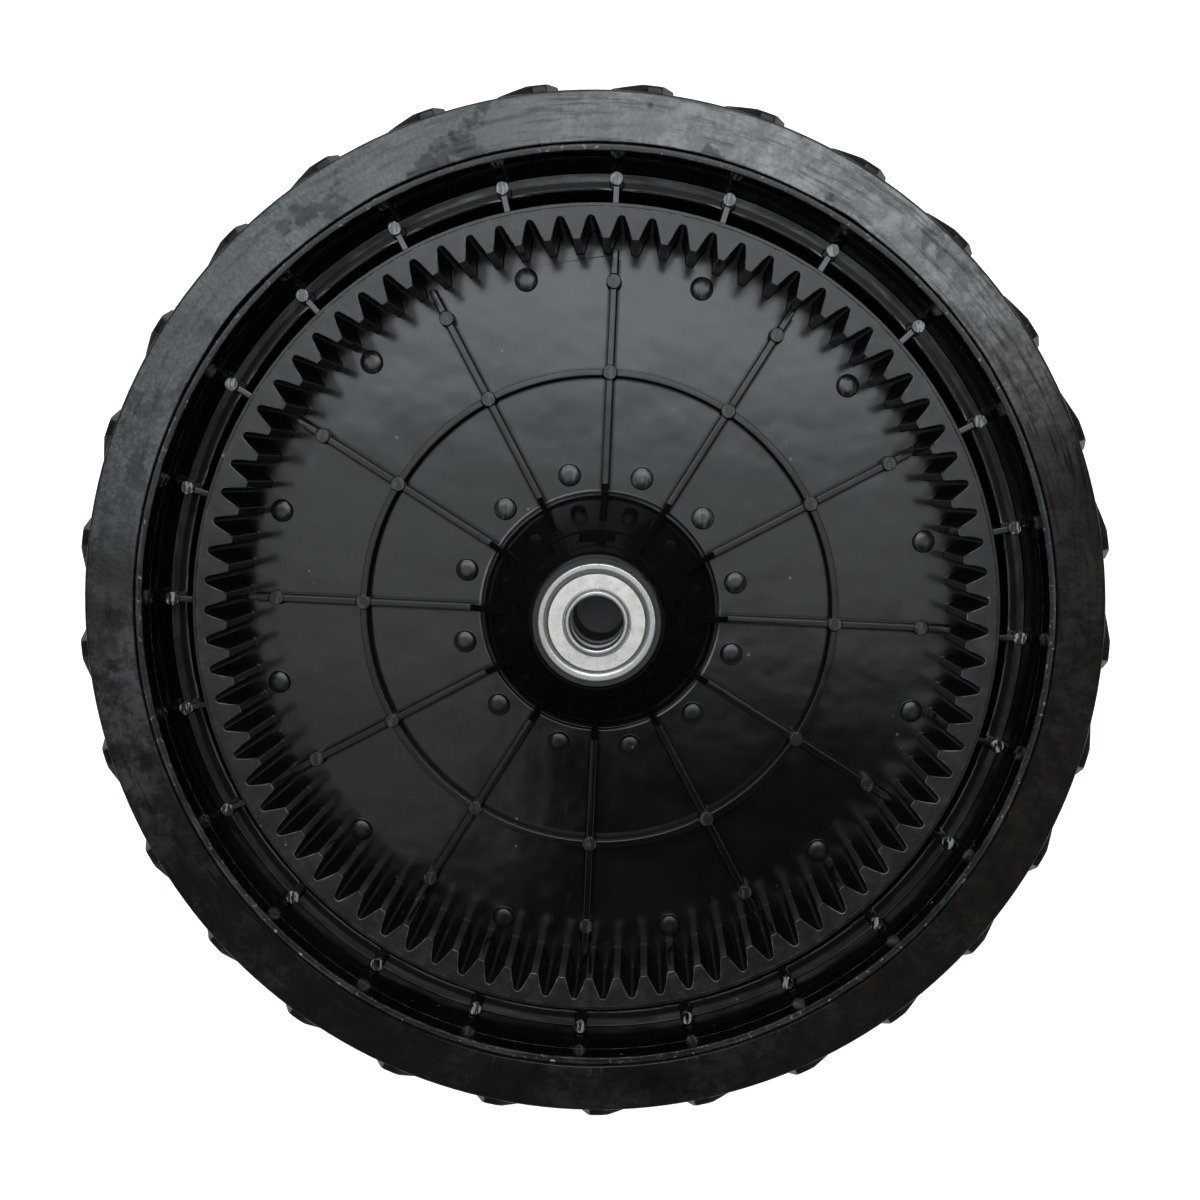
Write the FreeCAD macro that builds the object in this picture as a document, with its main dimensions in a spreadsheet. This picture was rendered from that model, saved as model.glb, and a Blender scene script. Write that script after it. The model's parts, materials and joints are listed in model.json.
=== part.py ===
import FreeCAD, Part
import math
import os
import Sketcher

# Drive wheel of a walk-behind mower, lying on its outer flank with the gear side up.
# The wheel's axis is Z, the floor is at zero, and one web rib points along X.

SIZES = (
    ("tyre_width", 50.0, "tyre across both flanks"),
    ("tyre_thickness", 10.9, "tread between the lugs, outside the rim"),
    ("tyre_fit", 0.1, "gap between rim and tyre"),
    ("tyre_edge_round", 0.6, "rounding of the tread's outer edges"),
    ("tyre_bead_chamfer", 0.3, "chamfer of the tyre's inner edges"),
    ("lug_count", 29, "tread lugs around the tyre"),
    ("lug_height", 1.8, "lug above the tread at the middle"),
    ("lug_end_drop", 0.6, "fall of a lug's top towards the flank"),
    ("lug_end_slope", 2.0, "stretch over which a lug's top falls"),
    ("lug_inset", 0.6, "lug end behind the flank"),
    ("lug_toe", 3.0, "width of a lug at the flank"),
    ("lug_flare", 4.0, "reach of a lug's short side"),
    ("lug_flare_depth", 5.0, "depth at which the short side ends"),
    ("lug_shoulder", 9.5, "reach of a lug's long side"),
    ("lug_shoulder_depth", 7.0, "depth at which the long side bends"),
    ("lug_sweep", 17.0, "reach of a lug's point at the middle"),
    ("lug_waist", 10.0, "width of a lug at the middle"),
    ("lug_root_depth", 6.0, "how deep a lug is rooted in the tyre"),
    ("lug_angle", 11.7, "turn of the first lug's toe, degrees"),
    ("rim_setback", 1.3, "rim lip behind the tyre's flank"),
    ("rim_lip_wall", 1.4, "rim wall at its lips"),
    ("ledge_height", 29.4, "step inside the rim, gear side"),
    ("channel_width", 4.12, "channel between gear and rim, at its bottom"),
    ("channel_draft", 0.5, "lean of the rim wall up to the step"),
    ("ledge_width", 3.8, "width of the step"),
    ("rim_wall", 2.9, "rim wall above the step"),
    ("dish_wall", 2.7, "rim wall at the bottom of the outer dish"),
    ("drop_depth", 3.6, "groove in the rim that holds the tyre"),
    ("drop_top", 27.0, "upper edge of the tyre groove"),
    ("drop_bottom", 15.8, "lower edge of the tyre groove"),
    ("drop_slope", 0.8, "slope of the groove's sides"),
    ("web_top", 16.3, "gear side of the web"),
    ("web_thickness", 3.3, "web plate"),
    ("rib_count", 12, "radial ribs"),
    ("rib_thickness", 1.5, "radial and ring ribs"),
    ("rib_rise", 4.6, "ribs above the web"),
    ("rib_knee", 3.0, "rib starts to climb this far from the hub cone"),
    ("rib_climb", 9.0, "climb of a rib up the hub cone"),
    ("ring_rib_radius", 56.9, "middle of the ring rib"),
    ("pin_diameter", 3.4, "ejector pin marks on the ribs"),
    ("pin_rise", 0.4, "pin marks above the ribs"),
    ("outer_pin_inset", 6.6, "outer row of pin marks inside the tooth tips"),
    ("boss_diameter", 5.2, "round bosses between the ribs"),
    ("boss_rise", 1.5, "bosses above the web"),
    ("inner_boss_offset", 5.7, "inner row of bosses outside the hub cone"),
    ("outer_boss_inset", 4.1, "outer row of bosses inside the tooth tips"),
    ("tooth_count", 82, "teeth of the ring gear"),
    ("gear_module", 2.1167, "pitch diameter over tooth count"),
    ("gear_face", 43.4, "height of the gear's face"),
    ("addendum", 1.125, "tooth tip inside the pitch circle, in modules"),
    ("dedendum", 1.04, "flank's end outside the pitch circle, in modules"),
    ("tip_space", 2.22, "tooth space between two tips, in modules"),
    ("root_space", 0.775, "tooth space at the end of the flanks, in modules"),
    ("flank_curve", 13.7, "radius of a tooth flank, in modules"),
    ("root_curve", 0.454, "radius at the bottom of a tooth space, in modules"),
    ("space_angle", 1.15, "turn of the first tooth space, degrees"),
    ("gear_wall", 3.2, "wall behind the tooth roots"),
    ("gear_edge_step", 0.4, "step around the gear's face"),
    ("gear_edge_width", 0.9, "width of that step"),
    ("gusset_count", 24, "plates between gear and rim"),
    ("gusset_thickness", 1.5, "gusset plate"),
    ("gusset_drop", 6.2, "upper edge below the gear's face"),
    ("gusset_fall", 2.2, "fall of the upper edge towards the rim"),
    ("gusset_pin_offset", 1.4, "row of pin marks outside the edge of the step"),
    ("gusset_pin_diameter", 3.1, "pin mark on a gusset"),
    ("hub_flare", 12.0, "hub cone wider at the web than at the bearing"),
    ("hub_top_wall", 2.0, "wall of the hub cone around the bearing"),
    ("hub_top_round", 1.5, "rounding of the hub cone's upper edge"),
    ("hub_groove", 0.9, "groove around the hub cone"),
    ("hub_groove_depth", 1.2, "depth of that groove"),
    ("hub_tube_wall", 3.5, "wall of the tube around the outer bearing"),
    ("hub_wall", 3.0, "wall of the hollow hub cone"),
    ("hub_core_top", 31.0, "end of the hollow in the hub cone"),
    ("hub_shoulder", 3.0, "shoulder behind each bearing"),
    ("notch_count", 8, "notches in the hub cone"),
    ("notch_width", 8.0, "width of a notch"),
    ("notch_wall", 3.84, "wall between a notch and the bearing"),
    ("notch_floor", 35.5, "height of a notch's floor"),
    ("notch_angle", 2.75, "turn of the first notch, degrees"),
    ("axle_bore", 12.0, "bore for the axle"),
    ("bearing_diameter", 28.0, "bearing body"),
    ("bearing_width", 12.0, "bearing across its faces"),
    ("bearing_seat_gap", 0.2, "room behind a seated bearing"),
    ("near_face", 48.9, "face of the gear side bearing"),
    ("far_face", 6.6, "face of the outer side bearing"),
    ("flange_reach", 0.5, "locating flange of the outer race"),
    ("flange_thickness", 0.9, "flange plate"),
    ("bead_height", 0.5, "rolled edge above the flange"),
    ("bead_inset", 0.6, "rolled edge inside the bearing body"),
    ("bead_width", 1.2, "crest of the rolled edge"),
    ("bead_round", 0.4, "rounding of the rolled edge"),
    ("lip_width", 1.35, "slope inside the rolled edge"),
    ("lip_depth", 1.0, "face of the shield behind the rolled edge"),
    ("shield_thickness", 0.6, "shield plate"),
    ("shield_groove", 0.4, "groove in the outer race that holds the shield"),
    ("shield_fit", 0.05, "gap around the shield's edge"),
    ("shield_gap", 0.45, "gap between shield and inner race"),
    ("race_wall", 2.6, "outer race beside the balls"),
    ("land_gap", 2.8, "gap between the races beside the balls"),
    ("cone_land_width", 7.2, "wide part of the inner race"),
    ("sleeve_wall", 1.3, "ends of the inner race"),
    ("sleeve_stickout", 1.0, "inner race in front of the bearing"),
    ("sleeve_round", 0.5, "rounded end of the inner race"),
    ("ball_count", 8, "balls in a bearing"),
    ("ball_diameter", 4.76, "bearing ball"),
    ("ball_clearance", 0.06, "gap between a ball and its tracks"),
    ("cage_wall", 1.6, "ball cage"),
    ("cage_cover", 0.6, "cage above a ball"),
    ("spacer_wall", 2.0, "tube between the inner races"),
    ("spacer_bore_gap", 0.02, "spacer bore larger than the axle bore"),
)

doc = FreeCAD.newDocument("mower_wheel")
sheet = doc.addObject("Spreadsheet::Sheet", "Sizes")


class Size:
    """A size with its value and the sheet expression that it comes from."""

    def __init__(self, value, text):
        self.value = value
        self.text = text

    def joined(self, other, sign, value):
        return Size(value, f"({self.text} {sign} {other.text})")

    def __add__(self, other):
        other = as_size(other)
        return self.joined(other, "+", self.value + other.value)

    def __sub__(self, other):
        other = as_size(other)
        return self.joined(other, "-", self.value - other.value)

    def __mul__(self, other):
        other = as_size(other)
        return self.joined(other, "*", self.value * other.value)

    def __truediv__(self, other):
        other = as_size(other)
        return self.joined(other, "/", self.value / other.value)

    def __radd__(self, other):
        return as_size(other) + self

    def __rsub__(self, other):
        return as_size(other) - self

    def __rmul__(self, other):
        return as_size(other) * self

    def __rtruediv__(self, other):
        return as_size(other) / self

    def __neg__(self):
        return 0 - self


def as_size(number):
    if isinstance(number, Size):
        return number
    return Size(float(number), str(number))


def cosine(degrees):
    return Size(math.cos(math.radians(degrees.value)), f"cos({degrees.text})")


def sine(degrees):
    return Size(math.sin(math.radians(degrees.value)), f"sin({degrees.text})")


class Named:
    """The sheet's sizes by name."""


s = Named()
for row, (alias, number, meaning) in enumerate(SIZES, start=1):
    sheet.set(f"A{row}", meaning)
    sheet.set(f"B{row}", str(number))
    sheet.setAlias(f"B{row}", alias)
doc.recompute()
for alias, number, meaning in SIZES:
    setattr(s, alias, Size(float(sheet.get(alias)), f"Sizes.{alias}"))


def bind(thing, path, size):
    thing.setExpression(path, as_size(size).text)


def origin_part(body, role):
    return next(part for part in body.Origin.OriginFeatures if part.Role == role)


def new_body(name):
    body = doc.addObject("PartDesign::Body", name)
    body.Label = name
    return body


def sketch_on(body, name, role, lift=0.0, turn=0.0):
    """A sketch on one of the body's own planes, lifted off it and turned in it."""
    sketch = body.newObject("Sketcher::SketchObject", name)
    sketch.AttachmentSupport = [(origin_part(body, role), "")]
    sketch.MapMode = "FlatFace"
    lift = as_size(lift)
    turn = as_size(turn)
    place = FreeCAD.Vector(0, 0, lift.value)
    spin = FreeCAD.Rotation(FreeCAD.Vector(0, 0, 1), turn.value)
    sketch.AttachmentOffset = FreeCAD.Placement(place, spin)
    bind(sketch, "AttachmentOffset.Base.z", lift)
    if turn.value:
        bind(sketch, "AttachmentOffset.Rotation.Angle", turn)
    return sketch


def arc_between(start, end, radius):
    """An arc that turns left from start to end, or right where the radius is negative."""
    chord = end - start
    middle = (start + end) * 0.5
    left = FreeCAD.Vector(-chord.y, chord.x, 0).normalize()
    reach = math.sqrt(radius ** 2 - chord.Length ** 2 / 4)
    centre = middle + left * math.copysign(reach, radius)
    first, last = (start, end) if radius > 0 else (end, start)
    angles = [math.atan2(p.y - centre.y, p.x - centre.x) for p in (first, last)]
    circle = Part.Circle(centre, FreeCAD.Vector(0, 0, 1), abs(radius))
    return Part.ArcOfCircle(circle, *angles)


def outline(sketch, corners):
    """A closed outline through corners (x, y); a third number bends the edge to the next corner."""
    spots = [tuple(as_size(part) for part in corner) for corner in corners]
    points = [FreeCAD.Vector(spot[0].value, spot[1].value, 0) for spot in spots]
    count = len(spots)
    edges = []
    ends = []
    for i, spot in enumerate(spots):
        start = points[i]
        end = points[(i + 1) % count]
        bend = spot[2].value if len(spot) == 3 else 0
        edges.append(arc_between(start, end, bend) if bend else Part.LineSegment(start, end))
        ends.append((2, 1) if bend < 0 else (1, 2))
    sketch.addGeometry(edges, False)
    rules = []
    sizes = []
    for i, spot in enumerate(spots):
        following = (i + 1) % count
        rules.append(Sketcher.Constraint("Coincident", i, ends[i][1], following, ends[following][0]))
        sizes.append(None)
        for kind, size in (("DistanceX", spot[0]), ("DistanceY", spot[1])):
            rules.append(Sketcher.Constraint(kind, -1, 1, i, ends[i][0], size.value))
            sizes.append(size)
        if len(spot) == 3:
            rules.append(Sketcher.Constraint("Radius", i, abs(spot[2].value)))
            sizes.append(spot[2] if spot[2].value > 0 else -spot[2])
    for index, size in zip(sketch.addConstraint(rules), sizes):
        if size and "Sizes." in size.text:
            bind(sketch, f"Constraints[{index}]", size)


def discs(sketch, spots):
    """Circles on the sketch's own X axis, each with its distance from the wheel's axis."""
    for place, diameter in spots:
        centre = FreeCAD.Vector(place.value, 0, 0)
        circle = Part.Circle(centre, FreeCAD.Vector(0, 0, 1), diameter.value / 2)
        index = sketch.addGeometry(circle, False)
        rules = [
            Sketcher.Constraint("DistanceX", -1, 1, index, 3, place.value),
            Sketcher.Constraint("DistanceY", -1, 1, index, 3, 0.0),
            Sketcher.Constraint("Diameter", index, diameter.value),
        ]
        across, _, round_ = sketch.addConstraint(rules)
        bind(sketch, f"Constraints[{across}]", place)
        bind(sketch, f"Constraints[{round_}]", diameter)


def turned(body, name, corners, cut=False):
    """Material, or a cut, turned about the wheel's axis from a section (radius, height)."""
    sketch = sketch_on(body, name + "_section", "XZ_Plane")
    outline(sketch, corners)
    feature = body.newObject("PartDesign::Groove" if cut else "PartDesign::Revolution", name)
    feature.Profile = sketch
    feature.ReferenceAxis = (sketch, ["V_Axis"])
    feature.Angle = 360
    body.Tip = feature
    return feature


def padded(body, name, sketch, length, symmetric=False):
    feature = body.newObject("PartDesign::Pad", name)
    feature.Profile = sketch
    if symmetric:
        feature.SideType = "Symmetric"
    bind(feature, "Length", length)
    body.Tip = feature
    return feature


def pocketed(body, name, sketch, depth):
    feature = body.newObject("PartDesign::Pocket", name)
    feature.Profile = sketch
    bind(feature, "Length", depth)
    body.Tip = feature
    return feature


def repeated(body, name, features, count):
    """The features again, all around the wheel's axis."""
    pattern = body.newObject("PartDesign::PolarPattern", name)
    pattern.Originals = features
    pattern.Axis = (origin_part(body, "Z_Axis"), [""])
    pattern.Angle = 360
    bind(pattern, "Occurrences", count)
    body.Tip = pattern
    return pattern


# Heights and radii that several pieces share
web_bottom = s.web_top - s.web_thickness
rib_top = s.web_top + s.rib_rise
rim_near = s.tyre_width - s.rim_setback
rim_far = s.rim_setback
pitch_radius = s.gear_module * s.tooth_count / 2
tooth_addendum = s.gear_module * s.addendum
gear_tip_radius = pitch_radius - tooth_addendum
flank_end_radius = pitch_radius + s.gear_module * s.dedendum
gear_outer_radius = flank_end_radius + s.gear_wall
channel_radius = gear_outer_radius + s.channel_width
ledge_inner_radius = channel_radius + s.channel_draft
ledge_outer_radius = ledge_inner_radius + s.ledge_width
rim_outer_radius = ledge_outer_radius + s.rim_wall
rim_lip_radius = rim_outer_radius - s.rim_lip_wall
drop_radius = rim_outer_radius - s.drop_depth
tyre_seat_radius = rim_outer_radius + s.tyre_fit
tread_radius = rim_outer_radius + s.tyre_thickness
flange_seat = s.flange_thickness + s.bead_height
hub_near = s.near_face - flange_seat
hub_far = s.far_face + flange_seat
seat_depth = s.bearing_width - flange_seat + s.bearing_seat_gap
seat_radius = s.bearing_diameter / 2
near_inside = s.near_face - s.bearing_width
far_inside = s.far_face + s.bearing_width
axle_radius = s.axle_bore / 2
hub_tube_radius = seat_radius + s.hub_tube_wall
hub_top_radius = seat_radius + s.hub_top_wall
hub_base_radius = hub_top_radius + s.hub_flare
hub_groove_radius = hub_base_radius + s.hub_groove
hub_cone_end = hub_near - s.hub_top_round


def make_ring_gear():
    """The internal gear of the moulding: a ring, then one tooth space cut out and repeated."""
    body = new_body("ring_gear")
    edge_height = s.gear_face - s.gear_edge_step
    foot = s.web_top - s.web_thickness / 2
    turned(body, "gear_ring", (
        (gear_tip_radius, foot),
        (gear_outer_radius, foot),
        (gear_outer_radius, edge_height),
        (gear_outer_radius - s.gear_edge_width, edge_height),
        (gear_outer_radius - s.gear_edge_width, s.gear_face),
        (gear_tip_radius, s.gear_face),
    ))
    sketch = sketch_on(body, "tooth_space_outline", "XY_Plane", s.gear_face, s.space_angle)
    tip_half = s.gear_module * s.tip_space / 2
    root_half = s.gear_module * s.root_space / 2
    flank_radius = s.gear_module * s.flank_curve
    mouth = gear_tip_radius - tooth_addendum
    outline(sketch, (
        (mouth, -tip_half),
        (gear_tip_radius, -tip_half, flank_radius),
        (flank_end_radius, -root_half, s.gear_module * s.root_curve),
        (flank_end_radius, root_half, flank_radius),
        (gear_tip_radius, tip_half),
        (mouth, tip_half),
    ))
    space = pocketed(body, "tooth_space", sketch, s.gear_face)
    repeated(body, "tooth_spaces", [space], s.tooth_count)
    return body


def add_web_and_hub(body):
    """The web plate and the hollow hub cone with its two bearing seats."""
    hub_bore_radius = seat_radius - s.hub_shoulder
    turned(body, "web", (
        (hub_tube_radius, web_bottom),
        (ledge_inner_radius, web_bottom),
        (ledge_inner_radius, s.web_top),
        (hub_tube_radius, s.web_top),
    ))
    turned(body, "hub_groove", (
        (hub_base_radius, s.web_top - s.hub_groove_depth),
        (hub_groove_radius, s.web_top - s.hub_groove_depth),
        (hub_groove_radius, rib_top),
        (hub_base_radius, rib_top),
    ), cut=True)
    turned(body, "hub", (
        (hub_tube_radius, hub_far),
        (hub_tube_radius, web_bottom),
        (hub_base_radius, web_bottom),
        (hub_base_radius, s.web_top),
        (hub_top_radius, hub_cone_end, s.hub_top_round),
        (hub_top_radius - s.hub_top_round, hub_near),
        (seat_radius, hub_near),
        (seat_radius, hub_near - seat_depth),
        (hub_bore_radius, hub_near - seat_depth),
        (hub_bore_radius, hub_far + seat_depth),
        (seat_radius, hub_far + seat_depth),
        (seat_radius, hub_far),
    ))
    turned(body, "hub_hollow", (
        (hub_tube_radius, web_bottom),
        (hub_base_radius - s.hub_wall, web_bottom),
        (hub_tube_radius, s.hub_core_top),
    ), cut=True)


def add_notches(body):
    """Rectangular notches in the upper part of the hub cone."""
    sketch = sketch_on(body, "notch_outline", "XY_Plane", hub_near, s.notch_angle)
    half = s.notch_width / 2
    notch_radius = seat_radius + s.notch_wall
    outline(sketch, (
        (notch_radius, -half),
        (hub_base_radius, -half),
        (hub_base_radius, half),
        (notch_radius, half),
    ))
    notch = pocketed(body, "notch", sketch, hub_near - s.notch_floor)
    repeated(body, "notches", [notch], s.notch_count)


def add_rim(body):
    """The stepped rim, with a groove outside for the tyre."""
    turned(body, "rim", (
        (channel_radius, web_bottom),
        (rim_outer_radius - s.dish_wall, web_bottom),
        (rim_lip_radius, rim_far),
        (rim_outer_radius, rim_far),
        (rim_outer_radius, s.drop_bottom),
        (drop_radius, s.drop_bottom + s.drop_slope),
        (drop_radius, s.drop_top - s.drop_slope),
        (rim_outer_radius, s.drop_top),
        (rim_outer_radius, rim_near),
        (rim_lip_radius, rim_near),
        (ledge_outer_radius, s.ledge_height),
        (ledge_inner_radius, s.ledge_height),
        (channel_radius, s.web_top),
    ))


def add_ribs(body):
    """A ring rib, radial ribs that climb the hub cone, pin marks and round bosses."""
    half = s.rib_thickness / 2
    turned(body, "ring_rib", (
        (s.ring_rib_radius - half, web_bottom),
        (s.ring_rib_radius + half, web_bottom),
        (s.ring_rib_radius + half, rib_top),
        (s.ring_rib_radius - half, rib_top),
    ))
    sketch = sketch_on(body, "rib_side", "XZ_Plane")
    root = hub_base_radius - s.hub_wall
    climb_share = (s.rib_rise + s.rib_climb) / (hub_cone_end - s.web_top)
    climb_radius = hub_base_radius - (hub_base_radius - hub_top_radius) * climb_share
    outline(sketch, (
        (root, web_bottom),
        (gear_tip_radius + half, web_bottom),
        (gear_tip_radius + half, rib_top),
        (hub_base_radius + s.rib_knee, rib_top),
        (climb_radius, rib_top + s.rib_climb),
        (climb_radius - half, rib_top + s.rib_climb),
        (root - half, s.web_top),
    ))
    rib = padded(body, "rib", sketch, s.rib_thickness, symmetric=True)
    sketch = sketch_on(body, "rib_pin_outline", "XY_Plane", web_bottom)
    outer_pin_radius = gear_tip_radius - s.outer_pin_inset
    discs(sketch, ((s.ring_rib_radius, s.pin_diameter), (outer_pin_radius, s.pin_diameter)))
    pins = padded(body, "rib_pins", sketch, s.web_thickness + s.rib_rise + s.pin_rise)
    sketch = sketch_on(body, "boss_outline", "XY_Plane", web_bottom, 180 / s.rib_count)
    inner_boss_radius = hub_base_radius + s.inner_boss_offset
    outer_boss_radius = gear_tip_radius - s.outer_boss_inset
    discs(sketch, ((inner_boss_radius, s.boss_diameter), (outer_boss_radius, s.boss_diameter)))
    bosses = padded(body, "bosses", sketch, s.web_thickness + s.boss_rise)
    repeated(body, "ribs_around", [rib, pins, bosses], s.rib_count)


def add_gussets(body):
    """Plates across the channel between gear and rim, each with a pin mark."""
    sketch = sketch_on(body, "gusset_side", "XZ_Plane")
    gear_root = gear_outer_radius - s.gear_wall / 4
    rim_root = ledge_outer_radius + s.rim_lip_wall
    step_root = ledge_inner_radius + s.rim_lip_wall
    below_ledge = s.ledge_height - s.rim_lip_wall
    gusset_top = s.gear_face - s.gusset_drop
    pin_radius = ledge_inner_radius + s.gusset_pin_offset
    outline(sketch, (
        (gear_root, web_bottom),
        (step_root, web_bottom),
        (step_root, below_ledge),
        (rim_root, below_ledge),
        (rim_root, gusset_top - s.gusset_fall),
        (pin_radius, gusset_top),
        (gear_root, gusset_top),
    ))
    plate = padded(body, "gusset", sketch, s.gusset_thickness, symmetric=True)
    sketch = sketch_on(body, "gusset_pin_outline", "XY_Plane", below_ledge)
    discs(sketch, ((pin_radius, s.gusset_pin_diameter),))
    pin = padded(body, "gusset_pin", sketch, gusset_top + s.pin_rise - below_ledge)
    repeated(body, "gussets_around", [plate, pin], s.gusset_count)


def make_wheel_body():
    """Gear, web, hub, ribs and rim are one moulding."""
    body = new_body("wheel_body")
    add_web_and_hub(body)
    add_notches(body)
    add_rim(body)
    add_ribs(body)
    add_gussets(body)
    moulding = body.newObject("PartDesign::Boolean", "moulding")
    moulding.Type = "Fuse"
    moulding.addObject(make_ring_gear())
    body.Tip = moulding
    return body


def make_tyre():
    """The tyre: a turned band with a ridge in the rim's groove, and lugs around the tread."""
    body = new_body("tyre")
    ridge_radius = drop_radius + s.tyre_fit
    flank_edge = tread_radius - s.tyre_edge_round
    bead_edge = tyre_seat_radius + s.tyre_bead_chamfer
    turned(body, "tyre_band", (
        (bead_edge, 0),
        (flank_edge, 0, s.tyre_edge_round),
        (tread_radius, s.tyre_edge_round),
        (tread_radius, s.tyre_width - s.tyre_edge_round, s.tyre_edge_round),
        (flank_edge, s.tyre_width),
        (bead_edge, s.tyre_width),
        (tyre_seat_radius, s.tyre_width - s.tyre_bead_chamfer),
        (tyre_seat_radius, s.drop_top - s.tyre_fit),
        (ridge_radius, s.drop_top - s.drop_slope - s.tyre_fit),
        (ridge_radius, s.drop_bottom + s.drop_slope + s.tyre_fit),
        (tyre_seat_radius, s.drop_bottom + s.tyre_fit),
        (tyre_seat_radius, s.tyre_bead_chamfer),
    ))
    lug_radius = tread_radius + s.lug_height
    root = tread_radius - s.lug_root_depth
    middle = s.tyre_width / 2
    near = s.tyre_width - s.lug_inset
    far = s.lug_inset
    toe = s.lug_toe / 2
    sketch = sketch_on(body, "lug_outline", "YZ_Plane", root)
    outline(sketch, (
        (-toe, near),
        (-s.lug_flare, near - s.lug_flare_depth),
        (s.lug_sweep - s.lug_waist, middle),
        (-s.lug_flare, far + s.lug_flare_depth),
        (-toe, far),
        (toe, far),
        (s.lug_shoulder, far + s.lug_shoulder_depth),
        (s.lug_sweep, middle),
        (s.lug_shoulder, near - s.lug_shoulder_depth),
        (toe, near),
    ))
    lug = padded(body, "lug", sketch, lug_radius - root)
    repeated(body, "lugs_around", [lug], s.lug_count)
    end_radius = lug_radius - s.lug_end_drop
    clear_radius = lug_radius + s.lug_sweep
    turned(body, "lug_tops", (
        (end_radius, 0),
        (clear_radius, 0),
        (clear_radius, s.tyre_width),
        (end_radius, s.tyre_width),
        (lug_radius, s.tyre_width - s.lug_end_slope),
        (lug_radius, s.lug_end_slope),
    ), cut=True)
    spin = FreeCAD.Rotation(FreeCAD.Vector(0, 0, 1), s.lug_angle.value)
    body.Placement = FreeCAD.Placement(FreeCAD.Vector(), spin)
    bind(body, "Placement.Rotation.Angle", s.lug_angle)
    return body


def seat_in_hub(thing, flipped, lift=0.0):
    """Sets a bearing piece, drawn from the bearing's inner end, into one side of the hub."""
    lift = as_size(lift)
    if flipped:
        height = far_inside - lift
        spin = FreeCAD.Rotation(FreeCAD.Vector(1, 0, 0), 180)
    else:
        height = near_inside + lift
        spin = FreeCAD.Rotation()
    thing.Placement = FreeCAD.Placement(FreeCAD.Vector(0, 0, height.value), spin)
    bind(thing, "Placement.Base.z", height)
    return thing


race_land_radius = seat_radius - s.race_wall
cone_land_radius = race_land_radius - s.land_gap
ball_pitch_radius = (race_land_radius + cone_land_radius) / 2
shield_seat_radius = race_land_radius + s.shield_groove
sleeve_radius = axle_radius + s.sleeve_wall
ball_middle = s.bearing_width / 2
track_radius = s.ball_diameter / 2 + s.ball_clearance
shield_back = s.lip_depth + s.shield_thickness
cage_height = track_radius + s.cage_cover


def half_track(land_radius):
    """Half the width of a ball track where it runs out at the land."""
    reach = ball_pitch_radius - land_radius
    value = math.sqrt(track_radius.value ** 2 - reach.value ** 2)
    return Size(value, f"sqrt({track_radius.text} ^ 2 - {reach.text} ^ 2)")


def make_outer_race(name, flipped):
    """Pressed outer race: flange, rolled edge, shield grooves and ball track."""
    body = new_body(name)
    width = s.bearing_width
    track = half_track(race_land_radius)
    flange_top = width - s.bead_height
    flange_radius = seat_radius + s.flange_reach
    bead_outer_radius = seat_radius - s.bead_inset
    bead_inner_radius = bead_outer_radius - s.bead_width
    lip_radius = bead_inner_radius - s.lip_width
    turned(body, name + "_turning", (
        (bead_inner_radius, 0),
        (seat_radius - s.bead_round, 0),
        (seat_radius, s.bead_round),
        (seat_radius, flange_top - s.flange_thickness),
        (flange_radius, flange_top - s.flange_thickness),
        (flange_radius, flange_top),
        (bead_outer_radius, flange_top),
        (bead_outer_radius, width - s.bead_round, s.bead_round),
        (bead_outer_radius - s.bead_round, width),
        (bead_inner_radius, width),
        (lip_radius, width - s.lip_depth),
        (shield_seat_radius, width - s.lip_depth),
        (shield_seat_radius, width - shield_back),
        (race_land_radius, width - shield_back),
        (race_land_radius, ball_middle + track, -track_radius),
        (race_land_radius, ball_middle - track),
        (race_land_radius, shield_back),
        (shield_seat_radius, shield_back),
        (shield_seat_radius, s.lip_depth),
        (lip_radius, s.lip_depth),
    ))
    return seat_in_hub(body, flipped)


def make_inner_race(name, flipped):
    """Inner race: a sleeve with a wider middle that carries the ball track."""
    body = new_body(name)
    front = s.bearing_width + s.sleeve_stickout
    track = half_track(cone_land_radius)
    land = s.cone_land_width / 2
    turned(body, name + "_turning", (
        (axle_radius, 0),
        (sleeve_radius, 0),
        (sleeve_radius, ball_middle - land),
        (cone_land_radius, ball_middle - land),
        (cone_land_radius, ball_middle - track, -track_radius),
        (cone_land_radius, ball_middle + track),
        (cone_land_radius, ball_middle + land),
        (sleeve_radius, ball_middle + land),
        (sleeve_radius, front - s.sleeve_round, s.sleeve_round),
        (sleeve_radius - s.sleeve_round, front),
        (axle_radius + s.sleeve_round, front, s.sleeve_round),
        (axle_radius, front - s.sleeve_round),
    ))
    return seat_in_hub(body, flipped)


def make_shield(name, flipped, height):
    """Flat ring that closes a bearing between its races."""
    body = new_body(name)
    edge = shield_seat_radius - s.shield_fit
    hole = sleeve_radius + s.shield_gap
    turned(body, name + "_turning", (
        (hole, height),
        (edge, height),
        (edge, height + s.shield_thickness),
        (hole, height + s.shield_thickness),
    ))
    return seat_in_hub(body, flipped)


def ball_spheres(name, radius):
    """One sphere for each ball, around the bearing's axis at its origin."""
    spheres = []
    for index in range(round(s.ball_count.value)):
        angle = index * 360 / s.ball_count
        sphere = doc.addObject("Part::Sphere", f"{name}_{index}")
        bind(sphere, "Radius", radius)
        bind(sphere, "Placement.Base.x", ball_pitch_radius * cosine(angle))
        bind(sphere, "Placement.Base.y", ball_pitch_radius * sine(angle))
        spheres.append(sphere)
    group = doc.addObject("Part::Compound", name)
    group.Links = spheres
    group.Label = name
    return group


def make_balls(name, flipped):
    balls = ball_spheres(name, s.ball_diameter / 2)
    return seat_in_hub(balls, flipped, ball_middle)


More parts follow.
